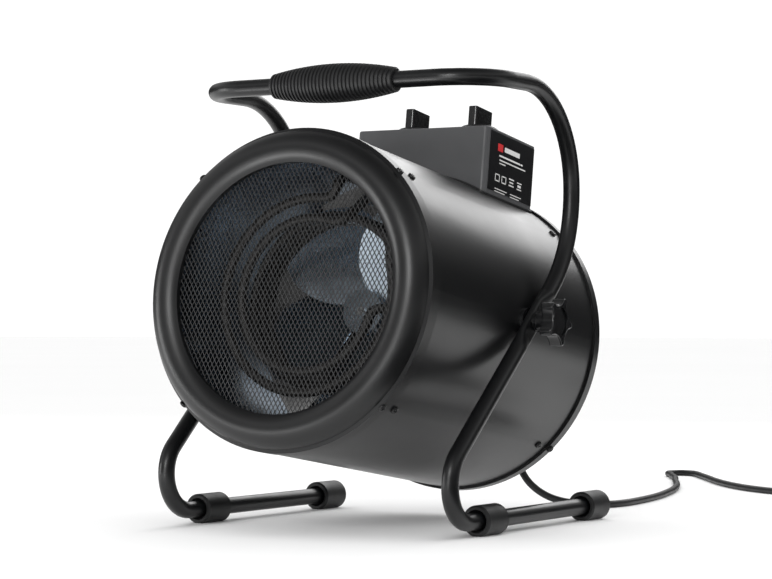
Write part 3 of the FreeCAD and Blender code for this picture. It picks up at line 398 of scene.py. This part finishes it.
def flat_marks(name, rectangles, material):
    """Thin printed bars on the rating plate, as (u, distance below the plate's top, width, height)."""
    bm = bmesh.new()
    for u, below, width, height in rectangles:
        v = PLATE_TOP - below
        corners = []
        for x in (0.0, MARK_THICKNESS):
            for du, dv in ((-1, -1), (1, -1), (1, 1), (-1, 1)):
                corners.append(bm.verts.new((x, u + du * width / 2, v + dv * height / 2)))
        for face in ((0, 1, 2, 3), (7, 6, 5, 4), (0, 4, 5, 1), (1, 5, 6, 2), (2, 6, 7, 3), (3, 7, 4, 0)):
            bm.faces.new([corners[i] for i in face])
    bmesh.ops.recalc_face_normals(bm, faces=bm.faces)
    place = drum_matrix() @ Matrix.Translation((PLATE_X, PLATE_MIDDLE_U, 0.0))
    obj = new_piece(name, bm, material, "drum", smooth=False, matrix=place)


def open_square(u):
    """Four bars around a small square in the plate's row of blocks."""
    return [(u, 0.0385, 0.0085, 0.0010), (u, 0.0445, 0.0085, 0.0010), (u - 0.0040, 0.0415, 0.0010, 0.0070),
            (u + 0.0040, 0.0415, 0.0010, 0.0070)]


# Rating plate: plain bars and blocks in place of print.
plate_bars = [
    (0.000, 0.0130, 0.030, 0.0045), (-0.004, 0.0205, 0.042, 0.0016), (0.020, 0.0205, 0.004, 0.0016),
    (0.002, 0.0245, 0.052, 0.0012), (-0.018, 0.0275, 0.012, 0.0010),
]
plate_bars += open_square(-0.026) + open_square(-0.013)
plate_bars += [
    (0.002, 0.0380, 0.0100, 0.0012), (0.002, 0.0410, 0.0075, 0.0012), (0.002, 0.0440, 0.0100, 0.0012),
    (0.018, 0.0385, 0.0090, 0.0010), (0.018, 0.0445, 0.0090, 0.0010), (0.018, 0.0415, 0.0065, 0.0022),
    (-0.018, 0.0520, 0.024, 0.0008), (-0.020, 0.0545, 0.020, 0.0008), (0.012, 0.0520, 0.022, 0.0008),
    (0.010, 0.0545, 0.018, 0.0008),
]
flat_marks("plate_bars", plate_bars, PRINT_WHITE)
flat_marks("plate_block", [(-0.0235, 0.0130, 0.0100, 0.0070)], PRINT_RED)


# ---------------------------------------------------------------- stage, light and camera

FLOOR_SIZE = 80.0
HEATER_MIDDLE = (0.0, 0.0, 0.2)
OUTLET_MIDDLE = (0.0, -0.1, 0.2)
PALE_STRENGTH = 1.12
# Reflected studio: brightness against the height of the direction it comes from.
STUDIO_STOPS = ((0.0, 0.02), (0.18, 0.03), (0.33, 0.25), (0.50, 0.80), (0.68, 0.30), (1.0, 0.08))
CAMERA_LENS = 115.2
CAMERA_PLACE = (1.1385, -1.9189, 0.1762)
CAMERA_BACK = Vector((0.50748, -0.86152, -0.01571))


def card(name, width, height, material):
    """Flat rectangle that only dresses the picture."""
    bm = bmesh.new()
    bmesh.ops.create_grid(bm, x_segments=1, y_segments=1, size=0.5)
    bmesh.ops.scale(bm, vec=(width, height, 1.0), verts=bm.verts)
    mesh = bpy.data.meshes.new(name)
    bm.to_mesh(mesh)
    bm.free()
    obj = bpy.data.objects.new(name, mesh)
    collection.objects.link(obj)
    obj.data.materials.append(material)
    return obj


def dark_flag(name, place, aim, width, height):
    """Dark card outside the picture, which only reflections see."""
    cloth = finish(name + "_cloth", (0.01, 0.01, 0.01), 0.9, mottle=(5.0, 0.05), specular=0.1)
    flag = card(name, width, height, cloth)
    flag.location = place
    flag.rotation_euler = (Vector(aim) - Vector(place)).to_track_quat("Z", "Y").to_euler()
    flag.visible_camera = False
    flag.visible_diffuse = False
    flag.visible_shadow = False


def area_light(name, place, aim, width, height, power):
    light = bpy.data.lights.new(name, "AREA")
    light.shape = "RECTANGLE"
    light.size = width
    light.size_y = height
    light.energy = power
    obj = bpy.data.objects.new(name, light)
    collection.objects.link(obj)
    obj.location = place
    obj.rotation_euler = (Vector(aim) - Vector(place)).to_track_quat("-Z", "Y").to_euler()


def make_world():
    """Even pale surroundings, and a graded studio that only glossy reflections see."""
    world = bpy.data.worlds.new("studio")
    bpy.context.scene.world = world
    world.use_nodes = True
    tree = world.node_tree
    tree.nodes.clear()
    output = tree.nodes.new("ShaderNodeOutputWorld")
    pale = tree.nodes.new("ShaderNodeBackground")
    pale.inputs["Color"].default_value = (1.0, 1.0, 1.0, 1.0)
    pale.inputs["Strength"].default_value = PALE_STRENGTH
    studio = tree.nodes.new("ShaderNodeBackground")
    studio.inputs["Strength"].default_value = 1.0
    coords = tree.nodes.new("ShaderNodeTexCoord")
    split = tree.nodes.new("ShaderNodeSeparateXYZ")
    ramp = tree.nodes.new("ShaderNodeValToRGB")
    while len(ramp.color_ramp.elements) < len(STUDIO_STOPS):
        ramp.color_ramp.elements.new(0.5)
    for element, (position, level) in zip(ramp.color_ramp.elements, STUDIO_STOPS):
        element.position = position
        element.color = (level, level, level, 1.0)
    path = tree.nodes.new("ShaderNodeLightPath")
    mix = tree.nodes.new("ShaderNodeMixShader")
    tree.links.new(coords.outputs["Generated"], split.inputs[0])
    tree.links.new(split.outputs["Z"], ramp.inputs["Fac"])
    tree.links.new(ramp.outputs["Color"], studio.inputs["Color"])
    tree.links.new(path.outputs["Is Glossy Ray"], mix.inputs["Fac"])
    tree.links.new(pale.outputs[0], mix.inputs[1])
    tree.links.new(studio.outputs[0], mix.inputs[2])
    tree.links.new(mix.outputs[0], output.inputs["Surface"])
    bpy.context.scene.view_settings.view_transform = "Standard"


def make_camera():
    lens = bpy.data.cameras.new("camera")
    lens.lens = CAMERA_LENS
    lens.sensor_width = 36.0
    camera = bpy.data.objects.new("camera", lens)
    collection.objects.link(camera)
    bpy.context.scene.camera = camera
    camera.location = CAMERA_PLACE
    camera.rotation_euler = CAMERA_BACK.to_track_quat("Z", "Y").to_euler()


card("floor", FLOOR_SIZE, FLOOR_SIZE,
     finish("pale_floor", (0.92, 0.92, 0.92), 0.7, mottle=(0.6, 0.01), specular=0.1))
dark_flag("back_flag", (0.85, 1.05, 0.16), (0.14, 0.0, 0.16), 1.5, 0.34)
dark_flag("floor_flag", (0.95, -0.35, 0.003), (0.95, -0.35, 1.0), 1.5, 1.1)
area_light("back_box", (-0.35, 1.9, 1.15), HEATER_MIDDLE, 1.5, 0.75, 10)
area_light("front_box", (0.22, -2.3, 0.15), OUTLET_MIDDLE, 0.8, 0.5, 7)
area_light("left_box", (-2.0, -1.05, 0.30), OUTLET_MIDDLE, 0.7, 0.7, 9)
area_light("floor_card", (-0.36, -0.72, 0.004), (-0.36, -0.72, 1.0), 0.45, 0.35, 3)
area_light("inside_box", (0.35, -2.2, 1.05), OUTLET_MIDDLE, 0.7, 0.5, 14)
make_world()
make_camera()
